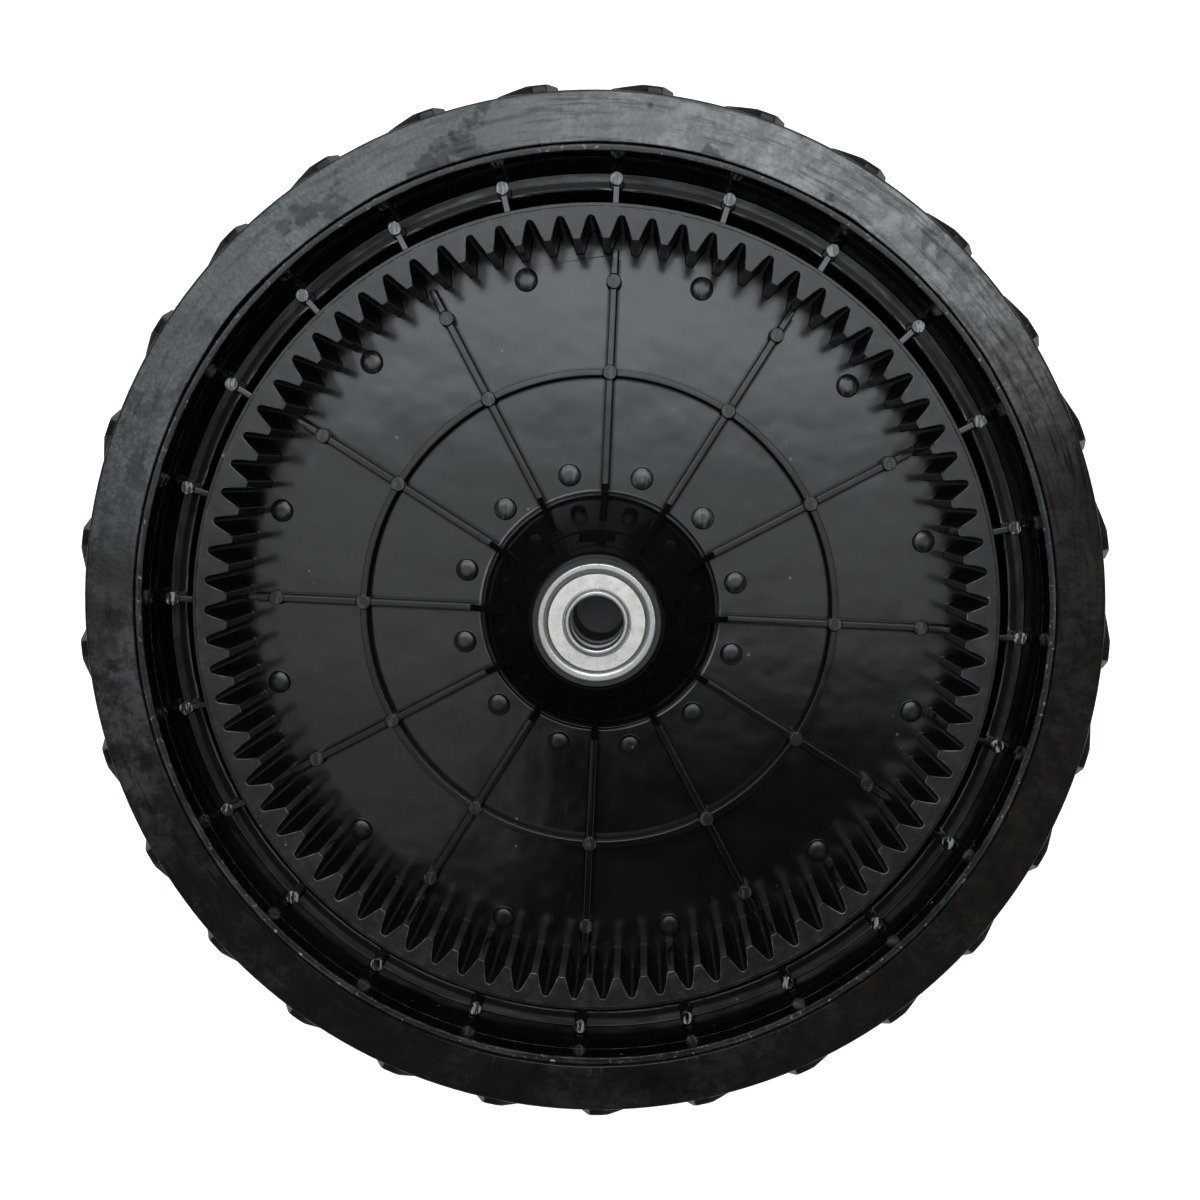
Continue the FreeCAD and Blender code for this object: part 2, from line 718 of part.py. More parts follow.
def make_cage_half(name, flipped, upper):
    """Half of the ball cage, split at the middle of the balls, with a pocket for each ball."""
    wall = doc.addObject("Part::Cylinder", name + "_wall")
    bind(wall, "Radius", ball_pitch_radius + s.cage_wall / 2)
    hole = doc.addObject("Part::Cylinder", name + "_hole")
    bind(hole, "Radius", ball_pitch_radius - s.cage_wall / 2)
    for cylinder in (wall, hole):
        bind(cylinder, "Height", cage_height)
        if not upper:
            bind(cylinder, "Placement.Base.z", -cage_height)
    ring = doc.addObject("Part::Cut", name + "_ring")
    ring.Base = wall
    ring.Tool = hole
    half = doc.addObject("Part::Cut", name)
    half.Base = ring
    half.Tool = ball_spheres(name + "_pockets", track_radius)
    half.Label = name
    return seat_in_hub(half, flipped, ball_middle)


def make_spacer():
    """Tube that holds the two inner races apart on the axle."""
    body = new_body("bearing_spacer")
    bore = axle_radius + s.spacer_bore_gap
    outside = axle_radius + s.spacer_wall
    turned(body, "spacer_turning", (
        (bore, far_inside),
        (outside, far_inside),
        (outside, near_inside),
        (bore, near_inside),
    ))
    return body


def make_bearing(side, flipped):
    front_shield = s.bearing_width - shield_back
    return [
        make_outer_race(side + "_outer_race", flipped),
        make_inner_race(side + "_inner_race", flipped),
        make_balls(side + "_balls", flipped),
        make_cage_half(side + "_front_cage", flipped, upper=True),
        make_cage_half(side + "_back_cage", flipped, upper=False),
        make_shield(side + "_front_shield", flipped, front_shield),
        make_shield(side + "_back_shield", flipped, s.lip_depth),
    ]


pieces = [make_wheel_body(), make_tyre(), make_spacer()]
pieces += make_bearing("gear_side", flipped=False)
pieces += make_bearing("outer_side", flipped=True)
doc.recompute()

faults = [thing.Name for thing in doc.Objects if {"Invalid", "Error"} & set(thing.State)]
faults += [piece.Label for piece in pieces if piece.Shape.isNull() or not piece.Shape.isValid()]
if faults:
    raise RuntimeError("failed: " + ", ".join(faults))

os.makedirs("parts", exist_ok=True)
for piece in pieces:
    piece.Shape.exportStep(f"parts/{piece.Label}.step")
    print(piece.Label, len(piece.Shape.Solids), round(piece.Shape.Volume / 1000, 3), "cm3")
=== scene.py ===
"""Looks of a mower's drive wheel: rounded moulding, lugged tyre, turned bearing pieces, finishes."""

import json
import math

import bmesh
import bpy
from mathutils import Matrix, Vector, noise


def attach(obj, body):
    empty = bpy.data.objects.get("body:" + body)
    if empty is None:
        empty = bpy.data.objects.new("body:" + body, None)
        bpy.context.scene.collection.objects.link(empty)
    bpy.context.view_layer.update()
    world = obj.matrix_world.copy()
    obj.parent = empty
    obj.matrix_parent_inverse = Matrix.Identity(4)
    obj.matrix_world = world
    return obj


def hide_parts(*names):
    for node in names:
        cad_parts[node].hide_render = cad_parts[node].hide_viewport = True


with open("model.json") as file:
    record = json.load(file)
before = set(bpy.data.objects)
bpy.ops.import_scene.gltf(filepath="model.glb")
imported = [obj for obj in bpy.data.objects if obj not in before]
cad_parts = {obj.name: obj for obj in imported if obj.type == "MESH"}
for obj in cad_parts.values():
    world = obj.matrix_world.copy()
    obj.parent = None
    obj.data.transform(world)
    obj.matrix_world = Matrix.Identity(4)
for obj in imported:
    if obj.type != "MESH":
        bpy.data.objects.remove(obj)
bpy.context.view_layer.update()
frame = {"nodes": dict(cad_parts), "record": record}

MM = 0.001

# Turn from the photograph's angles to the model's own, in degrees, and the number of radial ribs
RIB_TURN = 2.75
RIB_COUNT = 12

# Heights of the moulding in millimetres
WEB_TOP = 16.3
BOSS_TOP = 17.8
RIB_TOP = 20.9
RIB_PIN_TOP = 21.3
LEDGE_TOP = 29.4
NOTCH_FLOOR = 35.5
GUSSET_PIN_TOP = 37.6
GEAR_TOP = 43.4
LIP_TOP = 48.7

# Distances of the moulding from the axis in millimetres
HUB_GROOVE = 28.9
RING_RIB = 56.9
OUTER_PINS = 77.8
TOOTH_TIPS = 84.4
GEAR_OUTSIDE = 92.2
LEDGE_INSIDE = 96.8
GUSSET_PINS = 98.2
LIP_MIDDLE = 102.9

# Tyre: width and radius of the tread between lugs in millimetres
TYRE_WIDTH = 50.0
TREAD_RADIUS = 114.4


class Field:
    """A value that varies over a surface: a shader socket with arithmetic."""

    def __init__(self, graph, socket):
        self.graph = graph
        self.socket = socket

    def other(self, name):
        """Another output of the same node."""
        return Field(self.graph, self.socket.node.outputs[name])

    def math(self, operation, first, second):
        return self.graph.add("ShaderNodeMath", {"operation": operation}, {0: first, 1: second})

    def __add__(self, value):
        return self.math("ADD", self, value)

    def __radd__(self, value):
        return self.math("ADD", value, self)

    def __sub__(self, value):
        return self.math("SUBTRACT", self, value)

    def __rsub__(self, value):
        return self.math("SUBTRACT", value, self)

    def __mul__(self, value):
        return self.math("MULTIPLY", self, value)

    def __rmul__(self, value):
        return self.math("MULTIPLY", value, self)

    def __truediv__(self, value):
        return self.math("DIVIDE", self, value)


class Graph:
    """The nodes of one shader."""

    def __init__(self, tree):
        self.tree = tree
        self.tree.nodes.clear()

    def add(self, kind, settings=None, inputs=None, output=0):
        """A node of that kind: its settings first, then the values or links of its sockets."""
        node = self.tree.nodes.new(kind)
        for key, value in (settings or {}).items():
            setattr(node, key, value)
        for key, value in (inputs or {}).items():
            if isinstance(value, Field):
                self.tree.links.new(value.socket, node.inputs[key])
            else:
                node.inputs[key].default_value = value
        return Field(self, node.outputs[output]) if node.outputs else None

    def ramp(self, value, low, high, start=0.0, end=1.0):
        """Start up to low, end from high on, and a smooth change between them."""
        sockets = {"Value": value, "From Min": low, "From Max": high, "To Min": start, "To Max": end}
        return self.add("ShaderNodeMapRange", {"interpolation_type": "SMOOTHSTEP"}, sockets)

    def size(self, value):
        """The value without its sign."""
        return self.add("ShaderNodeMath", {"operation": "ABSOLUTE"}, {0: value})

    def near(self, value, middle, reach):
        """1 where the value is at the middle, falling to 0 a reach away."""
        return self.ramp(self.size(value - middle), reach / 2, reach, 1.0, 0.0)

    def inside(self, value, low, high, soft):
        """1 between low and high, falling to 0 over a soft edge beyond them."""
        return self.ramp(value, low - soft, low) * self.ramp(value, high, high + soft, 1.0, 0.0)


class Finish(Graph):
    """One procedural material. Places on the surface are in millimetres in the wheel's own frame."""

    def __init__(self, name):
        self.material = bpy.data.materials.new(name)
        self.material.use_nodes = True
        super().__init__(self.material.node_tree)
        coordinates = self.add("ShaderNodeTexCoord")
        self.facing = self.add("ShaderNodeSeparateXYZ", inputs={0: coordinates.other("Normal")})
        metres = coordinates.other("Object")
        self.place = self.add("ShaderNodeVectorMath", {"operation": "SCALE"}, {0: metres, "Scale": 1 / MM})
        self.x = self.add("ShaderNodeSeparateXYZ", inputs={0: self.place})
        self.y = self.x.other("Y")
        self.z = self.x.other("Z")
        flat = self.vector("MULTIPLY", self.place, (1, 1, 0))
        self.radius = self.add("ShaderNodeVectorMath", {"operation": "LENGTH"}, {0: flat}, output="Value")

    def vector(self, operation, first, second):
        return self.add("ShaderNodeVectorMath", {"operation": operation}, {0: first, 1: second})

    def noise(self, size, detail=3.0, rough=0.55, place=None, shift=0.0):
        """Cloudy noise from 0 to 1 whose blotches are about size millimetres across."""
        place = self.vector("ADD", place or self.place, (shift, shift, shift))
        sockets = {"Vector": place, "Scale": 1 / size, "Detail": detail, "Roughness": rough}
        return self.add("ShaderNodeTexNoise", {"noise_dimensions": "3D"}, sockets)

    def cells(self, size):
        """Distance to the middle of the nearest cell, in cells about size millimetres across."""
        return self.add("ShaderNodeTexVoronoi", inputs={"Vector": self.place, "Scale": 1 / size})

    def around(self, length):
        """Places that change slowly around the wheel and fast across it, for marks that run around it."""
        heading = self.vector("NORMALIZE", self.vector("MULTIPLY", self.place, (1, 1, 0)), (0, 0, 0))
        turn = self.vector("MULTIPLY", heading, (length, length, 0))
        across = self.add("ShaderNodeCombineXYZ", inputs={2: self.radius})
        return self.vector("ADD", turn, across)

    def rib_offset(self):
        """Distance around the wheel from the middle of the nearest radial rib."""
        turn = self.add("ShaderNodeMath", {"operation": "ARCTAN2"}, {0: self.y, 1: self.x})
        share = turn * (RIB_COUNT / (2 * math.pi))
        nearest = self.add("ShaderNodeMath", {"operation": "ROUND"}, {0: share})
        return self.radius * (share - nearest) * (2 * math.pi / RIB_COUNT)

    def towards(self, angle, spread):
        """1 at an angle of the photograph, falling to 0 at spread degrees to its sides."""
        heading = math.radians(angle + RIB_TURN)
        along = (self.x * math.cos(heading) + self.y * math.sin(heading)) / self.radius
        return self.ramp(along, math.cos(math.radians(spread)), 1.0)

    def mix(self, share, first, second):
        """A colour between the first and the second."""
        return self.add("ShaderNodeMix", {"data_type": "RGBA"}, {0: share, 6: first, 7: second}, output=2)

    def bump(self, height, depth, below=None):
        """A bump of that depth in millimetres, on top of the one below it."""
        sockets = {"Height": height, "Strength": 1.0, "Distance": depth * MM}
        if below:
            sockets["Normal"] = below
        return self.add("ShaderNodeBump", inputs=sockets)

    def shader(self, **sockets):
        """A principled shader; names of sockets use _ for a space."""
        named = {key.replace("_", " "): value for key, value in sockets.items()}
        return self.add("ShaderNodeBsdfPrincipled", inputs=named)

    def surface(self, shader):
        """Ends the material in that shader."""
        self.add("ShaderNodeOutputMaterial", inputs={"Surface": shader})
        return self.material


def grey(level, warmth=0.0):
    """A grey, a little brown where warmth is above zero."""
    return (level * (1 + warmth), level, level * (1 - warmth), 1.0)


# Finishes


def moulded_plastic():
    """Black injection moulding: glossy, with flow marks, scuffs, specks, worn edges and pin marks, painted
    highlights along edges and on boss tops, and painted shade in hollows and along ribs.
    """
    f = Finish("moulded_plastic")
    cloud = f.noise(26.0, detail=4.0)
    grain = f.noise(0.45, detail=2.0)
    streak = f.noise(2.2, place=f.vector("MULTIPLY", f.place, (1.0, 0.12, 1.0)))
    scuff = f.ramp(streak, 0.62, 0.78) * f.ramp(f.noise(14.0, shift=90.0), 0.5, 0.68)
    speck = f.ramp(f.cells(5.0), 0.05, 0.085, 1.0, 0.0) * f.ramp(f.noise(24.0, shift=40.0), 0.52, 0.66)
    brushed = f.noise(1.6, detail=4.0, rough=0.65, place=f.around(14.0))
    worn = f.ramp(f.noise(3.5, detail=5.0, rough=0.7, shift=25.0), 0.42, 0.7)
    scratch_place = f.vector("MULTIPLY", f.place, (1.0, 0.25, 1.0))
    scratch = f.ramp(f.noise(0.8, detail=4.0, place=scratch_place), 0.5, 0.58)

    # Gear, rim lip and pin marks
    on_teeth = f.inside(f.z, WEB_TOP + 1.7, GEAR_TOP - 0.6, 0.3)
    gear_face = f.ramp(f.radius, GEAR_OUTSIDE + 0.2, GEAR_OUTSIDE + 0.7, 1.0, 0.0)
    gear_face = f.near(f.z, GEAR_TOP, 0.6) * gear_face
    tooth_edge = f.inside(f.z, GEAR_TOP - 0.18, GEAR_TOP - 0.05, 0.05)
    # Masks for painted shade on the tooth flanks and the tooth tips
    tooth_flank = on_teeth * f.inside(f.radius, TOOTH_TIPS + 0.4, GEAR_OUTSIDE - 0.2, 0.3)
    tooth_tip = on_teeth * f.inside(f.radius, TOOTH_TIPS - 0.2, TOOTH_TIPS + 0.2, 0.2)
    lip = f.ramp(f.z, LIP_TOP - 0.9, LIP_TOP - 0.3) * f.near(f.radius, LIP_MIDDLE, 2.0)
    lip_edge = f.inside(f.z, LIP_TOP - 0.18, LIP_TOP - 0.07, 0.06)
    lip_inside = lip * f.near(f.radius, LIP_MIDDLE - 0.5, 0.6)
    nick = lip * f.ramp(f.noise(1.1, detail=4.0, rough=0.7, shift=7.0), 0.6, 0.68)
    rib_pin = f.near(f.radius, RING_RIB, 3.0) + f.near(f.radius, OUTER_PINS, 3.0)
    rib_pin = f.near(f.z, RIB_PIN_TOP, 0.3) * rib_pin
    gusset_pin = f.ramp(f.z, GUSSET_PIN_TOP - 0.3, GUSSET_PIN_TOP - 0.1) * f.near(f.radius, GUSSET_PINS, 2.4)
    scratched = scratch * (gusset_pin + 0.2 * rib_pin)

    # Ribs and bosses of the web, on its gear side only
    gear_side = f.ramp(f.z, WEB_TOP - 2.3, WEB_TOP - 1.9)
    on_web = f.inside(f.radius, HUB_GROOVE + 0.6, TOOTH_TIPS - 1.4, 0.5) * gear_side
    web_floor = f.ramp(f.z, WEB_TOP + 0.1, WEB_TOP + 0.5, 1.0, 0.0)
    rib_offset = f.rib_offset()
    rib_way = f.size(rib_offset)
    ring_offset = f.radius - RING_RIB
    ring_way = f.size(ring_offset)
    # Painted shade along the feet of the ribs on the web, heavier on each radial rib's side towards -Y and
    # inside the ring rib
    rib_below = f.ramp(rib_offset * f.x / f.radius, -0.5, 0.5, 1.0, 0.55)
    ring_inside = f.ramp(ring_offset, -0.5, 0.5, 1.0, 0.3)
    rib_foot = f.ramp(rib_way, 1.0, 1.8, 1.0, 0.0) * rib_below
    rib_foot = rib_foot + f.ramp(ring_way, 1.0, 1.8, 1.0, 0.0) * ring_inside
    rib_foot = rib_foot * web_floor * on_web
    # Painted shade on the side walls of the ribs, lighter on walls facing +Y
    rib_side = f.near(f.z, RIB_TOP - 1.6, 1.6) * on_web * f.ramp(f.facing.other("Y"), -0.2, 0.6, 1.0, 0.65)
    # Painted highlight: a light line along the ribs' top edges
    rib_edge_highlight = f.inside(f.z, RIB_TOP - 0.18, RIB_TOP - 0.07, 0.03) * on_web
    # Painted shade on the flat tops of the ribs
    rib_top = f.inside(f.z, RIB_TOP - 0.02, RIB_TOP + 0.1, 0.02) * on_web
    off_ribs = on_web * f.ramp(rib_way, 2.0, 2.2) * f.ramp(ring_way, 2.0, 2.2)
    boss_top = f.inside(f.z, BOSS_TOP - 0.4, BOSS_TOP + 0.1, 0.1) * off_ribs
    # Painted shade on the side walls of the bosses
    boss_side = f.inside(f.z, WEB_TOP + 0.2, BOSS_TOP - 0.55, 0.1) * off_ribs
    tooth_shade = gear_side * web_floor * f.inside(f.radius, TOOTH_TIPS - 4.4, GEAR_OUTSIDE - 0.2, 3.0)
    tooth_shade = tooth_shade * f.towards(-92.0, 85.0)

    # Hub, ledge and channel
    # Painted shade on the notch floors of the hub
    notch_floor = f.near(f.z, NOTCH_FLOOR, 0.6) * f.ramp(f.radius, 23.0, 24.0, 1.0, 0.0)
    # Painted shade over the hub inside its groove, with two lighter patches of painted sheen on the hub's
    # foot
    sheen = (f.towards(125.0, 40.0) + f.towards(50.0, 30.0)) * f.ramp(f.radius, 21.0, 27.0)
    hub = gear_side * f.ramp(f.radius, HUB_GROOVE - 0.4, HUB_GROOVE - 0.1, 1.0, 0.0) * (0.75 - 0.4 * sheen)
    # Painted highlight on the lip around the hub groove, strongest on two sides
    hub_lip_highlight = f.inside(f.radius, HUB_GROOVE + 0.05, HUB_GROOVE + 0.5, 0.1)
    hub_lip_highlight = hub_lip_highlight * f.inside(f.z, WEB_TOP - 0.5, WEB_TOP + 0.1, 0.1)
    hub_lip_highlight = hub_lip_highlight * (0.1 + f.towards(130.0, 75.0) + f.towards(-40.0, 50.0))
    on_ledge = f.near(f.z, LEDGE_TOP, 0.3)
    # Painted shade over the ledge, heavier on its inner part and lighter in streaks on its outer part
    ledge_outside = f.ramp(f.radius, LEDGE_INSIDE + 1.6, LEDGE_INSIDE + 2.4)
    ledge_shade = 0.85 - 0.45 * ledge_outside - 0.5 * f.ramp(brushed, 0.45, 0.6) * ledge_outside
    ledge = on_ledge * f.ramp(f.radius, LEDGE_INSIDE + 0.2, LEDGE_INSIDE + 0.7) * ledge_shade
    # Painted highlight: a light line along the ledge's inner edge
    ledge_edge_highlight = on_ledge * f.inside(f.radius, LEDGE_INSIDE - 0.1, LEDGE_INSIDE + 0.3, 0.1)
    # Painted shade in the channel between the gear and the ledge
    channel = f.ramp(f.z, LEDGE_TOP - 3.4, LEDGE_TOP - 0.9, 1.0, 0.0)
    channel = gear_side * channel * f.ramp(f.radius, GEAR_OUTSIDE - 0.2, GEAR_OUTSIDE + 0.3)

    # Gloss with its wear, painted highlights on rib, ledge and hub edges, and painted sheen on the boss tops
    lip_wear = lip * (0.04 + 0.3 * f.ramp(brushed, 0.45, 0.65))
    # Boss tops lighter: scratches as wear and a painted sheen that is strongest towards +Y
    boss_wear_and_sheen = boss_top * (0.04 + (0.1 + 0.5 * scratch) * f.towards(80.0, 95.0))
    # Lighter edges: tooth edges partly worn and partly a painted highlight, lip edges worn, and the painted
    # highlight of the hub lip
    edge_wear_and_highlight = tooth_edge * (0.15 + 0.6 * worn) + lip_edge * 0.5 * worn + hub_lip_highlight * 0.5
    base = f.mix(f.ramp(cloud, 0.35, 0.7), grey(0.003), grey(0.006))
    base = f.mix(gear_face * (0.06 + 0.14 * worn) + lip_wear, base, grey(0.16))
    base = f.mix(scuff * 0.25 + rib_pin * 0.12 + boss_wear_and_sheen + rib_edge_highlight, base, grey(0.12))
    base = f.mix(edge_wear_and_highlight, base, grey(0.4))
    base = f.mix(ledge_edge_highlight * 0.5, base, grey(0.2))
    base = f.mix(speck * 0.5, base, grey(0.4, 0.06))
    base = f.mix(nick * 0.6 + scratched * 0.45, base, grey(0.7))
    rough = 0.1 + 0.05 * f.ramp(cloud, 0.3, 0.75) + 0.15 * scuff + 0.18 * gear_face + 0.25 * lip
    rough = rough + 0.05 * (grain - 0.5) + 0.1 * rib_pin + 0.08 * boss_top
    ripple = f.bump(f.noise(15.0, detail=2.0, shift=15.0), 0.18)
    skin = f.bump(grain, 0.004, ripple)
    gloss = f.shader(Base_Color=base, Roughness=rough, Normal=skin, IOR=1.5)

    # Painted shade: a dull black mixed in on notch floors, rib and boss sides, rib feet and tops, tooth
    # flanks and tips, hub, ledge and channel, more on the web by the teeth and on boss tops towards -Y; also
    # darker over pin marks, gear face and the lip's inner side
    painted_shade = f.shader(Base_Color=grey(0.002), Roughness=0.9, Specular_IOR_Level=0.1)
    dark = notch_floor + 0.9 * rib_side + 0.85 * rib_foot + 0.85 * boss_side + 0.5 * tooth_flank
    dark = dark + 0.2 * gear_face + 0.6 * tooth_shade + 0.35 * tooth_tip + 0.25 * rib_top
    dark = dark + 0.35 * boss_top * f.towards(-90.0, 80.0) + 0.3 * rib_pin
    dark = dark + hub + ledge + 0.9 * channel + 0.4 * lip_inside
    return f.surface(f.add("ShaderNodeMixShader", inputs={0: dark, 1: gloss, 2: painted_shade}))


def tyre_rubber():
    """Black rubber: a dusty, mottled flank, bluish on one side and brown on the other, with dark smears."""
    f = Finish("tyre_rubber")
    cloud = f.noise(24.0, detail=6.0, rough=0.65)
    patch = f.noise(4.0, detail=8.0, rough=0.75, shift=60.0)
    brushed = f.noise(1.2, detail=6.0, rough=0.7, place=f.around(9.0))
    fine = f.noise(0.8, detail=3.0, rough=0.75)
    flank = f.ramp(f.z, TYRE_WIDTH - 0.5, TYRE_WIDTH - 0.1)
    flank = flank * f.ramp(f.radius, TREAD_RADIUS - 0.8, TREAD_RADIUS - 0.2, 1.0, 0.0)
    blue_side = flank * f.towards(132.0, 48.0)
    pale_side = flank * f.towards(60.0, 48.0)
    top_side = flank * f.towards(95.0, 65.0)
    left_side = flank * f.towards(185.0, 60.0)
    brown_side = flank * f.towards(-20.0, 75.0)
    low_left_side = flank * f.towards(228.0, 45.0)
    speckle = f.ramp(fine, 0.4, 0.66)
    dust = f.ramp(cloud, 0.36, 0.66) * f.ramp(patch, 0.35, 0.62)
    smear = f.ramp(f.noise(13.0, detail=4.0, rough=0.6, shift=130.0), 0.56, 0.62)
    streak = f.ramp(brushed, 0.5, 0.62)

    base = f.mix(dust * flank, grey(0.005), grey(0.02))
    base = f.mix(top_side * f.ramp(brushed, 0.35, 0.6, 0.9, 0.3), base, grey(0.04))
    base = f.mix(left_side * dust * 0.6, base, grey(0.1))
    blue_dust = blue_side * (0.3 + 0.7 * speckle) * f.ramp(cloud, 0.3, 0.6, 0.4, 1.0)
    base = f.mix(blue_dust, base, (0.15, 0.165, 0.17, 1.0))
    pale_dust = pale_side * (0.3 + 0.7 * f.ramp(patch, 0.4, 0.66)) * (0.95 - 0.4 * streak)
    base = f.mix(pale_dust, base, grey(0.34))
    base = f.mix(brown_side * (0.2 + 0.8 * f.ramp(brushed, 0.4, 0.7)) * 0.5, base, grey(0.016, 0.5))
    base = f.mix(smear * 0.6, base, grey(0.004))
    rough = 0.22 + 0.14 * dust + 0.1 * speckle * blue_side + 0.06 * top_side - 0.06 * smear
    pores = f.bump(fine, 0.015)
    skin = f.bump(patch, 0.06, pores)
    sheen = f.shader(Base_Color=base, Roughness=rough, Normal=skin, IOR=1.5)
    dirt = f.mix(brown_side * f.ramp(patch, 0.35, 0.65), grey(0.006), grey(0.012, 0.4))
    matt = f.shader(Base_Color=dirt, Roughness=0.85, Specular_IOR_Level=0.12)
    dull = (1 - flank) * 0.5 + 0.3 * flank * streak + brown_side * (0.9 - 0.3 * dust)
    dull = dull + low_left_side * (0.95 - 0.3 * dust) + 0.4 * smear * top_side
    return f.surface(f.add("ShaderNodeMixShader", inputs={0: dull, 1: sheen, 2: matt}))


# Axle bore of the inner races and spacer: radius up to which it reaches, and the heights of its painted
# highlights, bright bands on its wall
BORE_RADIUS = 6.1
NEAR_HIGHLIGHT = 42.0
DEEP_HIGHLIGHT = 31.0
HIGHLIGHT_REACH = 4.0


def turned_steel(name, level, low, high, shade_radius, marks=0.0004, warmth=0.02):
    """Plated steel with turning marks and stains, a painted shade that darkens it and makes it rougher
    outside a radius, and painted highlights in the bore.
    """
    f = Finish(name)
    ring_place = f.add("ShaderNodeCombineXYZ", inputs={0: f.radius, 1: f.z})
    rings = f.noise(0.3, detail=3.0, rough=0.6, place=ring_place)
    stain = f.ramp(f.noise(2.4, detail=5.0, rough=0.65), 0.35, 0.75)
    speck = f.ramp(f.noise(0.45, detail=3.0, rough=0.65), 0.52, 0.68)
    # Painted shade: darker and rougher outside the radius
    dull = f.ramp(f.radius, shade_radius, shade_radius + 0.1)
    bore = f.ramp(f.radius, BORE_RADIUS, BORE_RADIUS + 0.15, 1.0, 0.0)
    # Painted highlight: bright, non-metal bands on the bore wall
    bore_highlight = bore * (f.near(f.z, NEAR_HIGHLIGHT, HIGHLIGHT_REACH) + 0.8 * f.near(f.z, DEEP_HIGHLIGHT, HIGHLIGHT_REACH))
    base = f.mix(stain * 0.25 + speck * 0.4, grey(level, warmth), grey(level * 0.55, 2 * warmth))
    base = f.mix(dull, base, grey(level * 0.12))
    base = f.mix(bore, base, f.mix(bore_highlight, grey(0.2), grey(0.95)))
    rough = low + (high - low) * stain + 0.1 * speck + 0.25 * dull + 0.15 * bore
    metal = 0.9 - 0.9 * bore_highlight
    skin = f.bump(rings, marks)
    return f.surface(f.shader(Base_Color=base, Metallic=metal, Roughness=rough, Normal=skin))


# Up to the first radius the floor's colour is painted darker as the wheel's shade and it does not glow; from
# the second on it glows fully
FLOOR_SHADED = 60.0
FLOOR_LIT = 130.0


def pale_floor():
    """White floor, lit from within around the wheel so that it stays white, with a painted shade under the
    wheel.
    """
    f = Finish("pale_floor")
    tone = f.mix(f.noise(180.0), grey(0.84), grey(0.88))
    outside = f.ramp(f.radius, FLOOR_SHADED, FLOOR_LIT)
    shade = f.mix(outside, grey(0.5), tone)
    glow = f.mix(outside, grey(0.0), tone)
    return f.surface(f.shader(Base_Color=shade, Roughness=0.8, Emission_Color=glow, Emission_Strength=1.0))


# Pieces with rounded edges

WELD = 0.002 * MM
FLAT_ANGLE = math.radians(0.3)
SHARP_ANGLE = math.radians(40)
HEIGHT_SLACK = 0.02

RECORD = frame["record"]
BODY_OF = {node: body for body, nodes in RECORD["behaviour"]["bodies"].items() for node in nodes}
SLOT_OF = {part["node"]: part["material_slot"] for part in RECORD["subparts"]}


def show(bm, node, finish):
    """A piece from that mesh in place of a CAD node, with its finish, riding on the node's body."""
    name = node + "_shown"
    mesh = bpy.data.meshes.new(name)
    bm.to_mesh(mesh)
    bm.free()
    mesh.shade_smooth()
    mesh.set_sharp_from_angle(angle=SHARP_ANGLE)
    mesh.materials.append(finish)
    piece = bpy.data.objects.new(name, mesh)
    bpy.context.scene.collection.objects.link(piece)
    shading = piece.modifiers.new("even_shading", "WEIGHTED_NORMAL")
    shading.keep_sharp = True
    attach(piece, BODY_OF[node])
    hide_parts(node)


MOULDING = "wheel_body"

# Larger rounds of the moulding: height of the edge, radii that it lies between, width of the round
MOULDED_ROUNDS = (
    (LEDGE_TOP, LEDGE_INSIDE - 0.3, LEDGE_INSIDE + 0.3, 0.5),
    (WEB_TOP, HUB_GROOVE - 0.2, HUB_GROOVE + 0.2, 0.45),
)
ROUND_STEPS = 4

# Bosses: radii that they lie between, fall to a dome's edge, and the dome's rings: step inwards and rise
BOSS_ZONE = (30.0, 84.0)
DOME_FALL = 0.4
DOME_RINGS = ((0.15, 0.14), (0.3, 0.11), (0.6, 0.1), (0.8, 0.05))


def sharp_edges(bm, edge_angle):
    limit = math.radians(edge_angle)
    return [e for e in bm.edges if len(e.link_faces) == 2 and e.calc_face_angle(0) > limit]


def round_off(bm, edges, width, steps):
    bmesh.ops.bevel(
        bm, geom=edges, offset=width * MM, segments=steps, profile=0.5, affect="EDGES", clamp_overlap=False,
    )


def lies_at(vert, height, inner, outer):
    """Whether a point has that height and lies between two distances from the axis, in millimetres."""
    spot = vert.co / MM
    return abs(spot.z - height) < HEIGHT_SLACK and inner < spot.xy.length < outer


def dome_bosses(bm):
    """Turns the flat tops of the bosses into low domes."""
    tops = [face for face in bm.faces if all(lies_at(v, BOSS_TOP, *BOSS_ZONE) for v in face.verts)]
    rims = {vert for face in tops for vert in face.verts}
    for vert in rims:
        vert.co.z -= DOME_FALL * MM
    for inset, rise in DOME_RINGS:
        bmesh.ops.inset_individual(
            bm, faces=tops, thickness=inset * MM, depth=rise * MM, use_even_offset=True,
        )


def show_rounded(node, finish, width, edge_angle, rounds=()):
    """The node's own form, its edges over an angle rounded to a width in millimetres, some of them more."""
    bm = bmesh.new()
    bm.from_mesh(frame["nodes"][node].data)
    bmesh.ops.remove_doubles(bm, verts=bm.verts, dist=WELD)
    bmesh.ops.dissolve_limit(bm, angle_limit=FLAT_ANGLE, verts=bm.verts, edges=bm.edges)
    if node == MOULDING:
        dome_bosses(bm)
    for height, inner, outer, round_width in rounds:
        sharp = sharp_edges(bm, edge_angle)
        chosen = [e for e in sharp if all(lies_at(v, height, inner, outer) for v in e.verts)]
        round_off(bm, chosen, round_width, ROUND_STEPS)
    round_off(bm, sharp_edges(bm, edge_angle), width, 2)
    show(bm, node, finish)


# Tyre: sections around the wheel, each a loop over the tread and back along flanks, beads and seat

TREAD_EDGE = 0.6
LUG_COUNT = 29
LUG_ANGLE = 11.7
LUG_HEIGHT = 1.8
LUG_END_DROP = 0.6
LUG_END_SLOPE = 2.0
LUG_INSET = 0.6

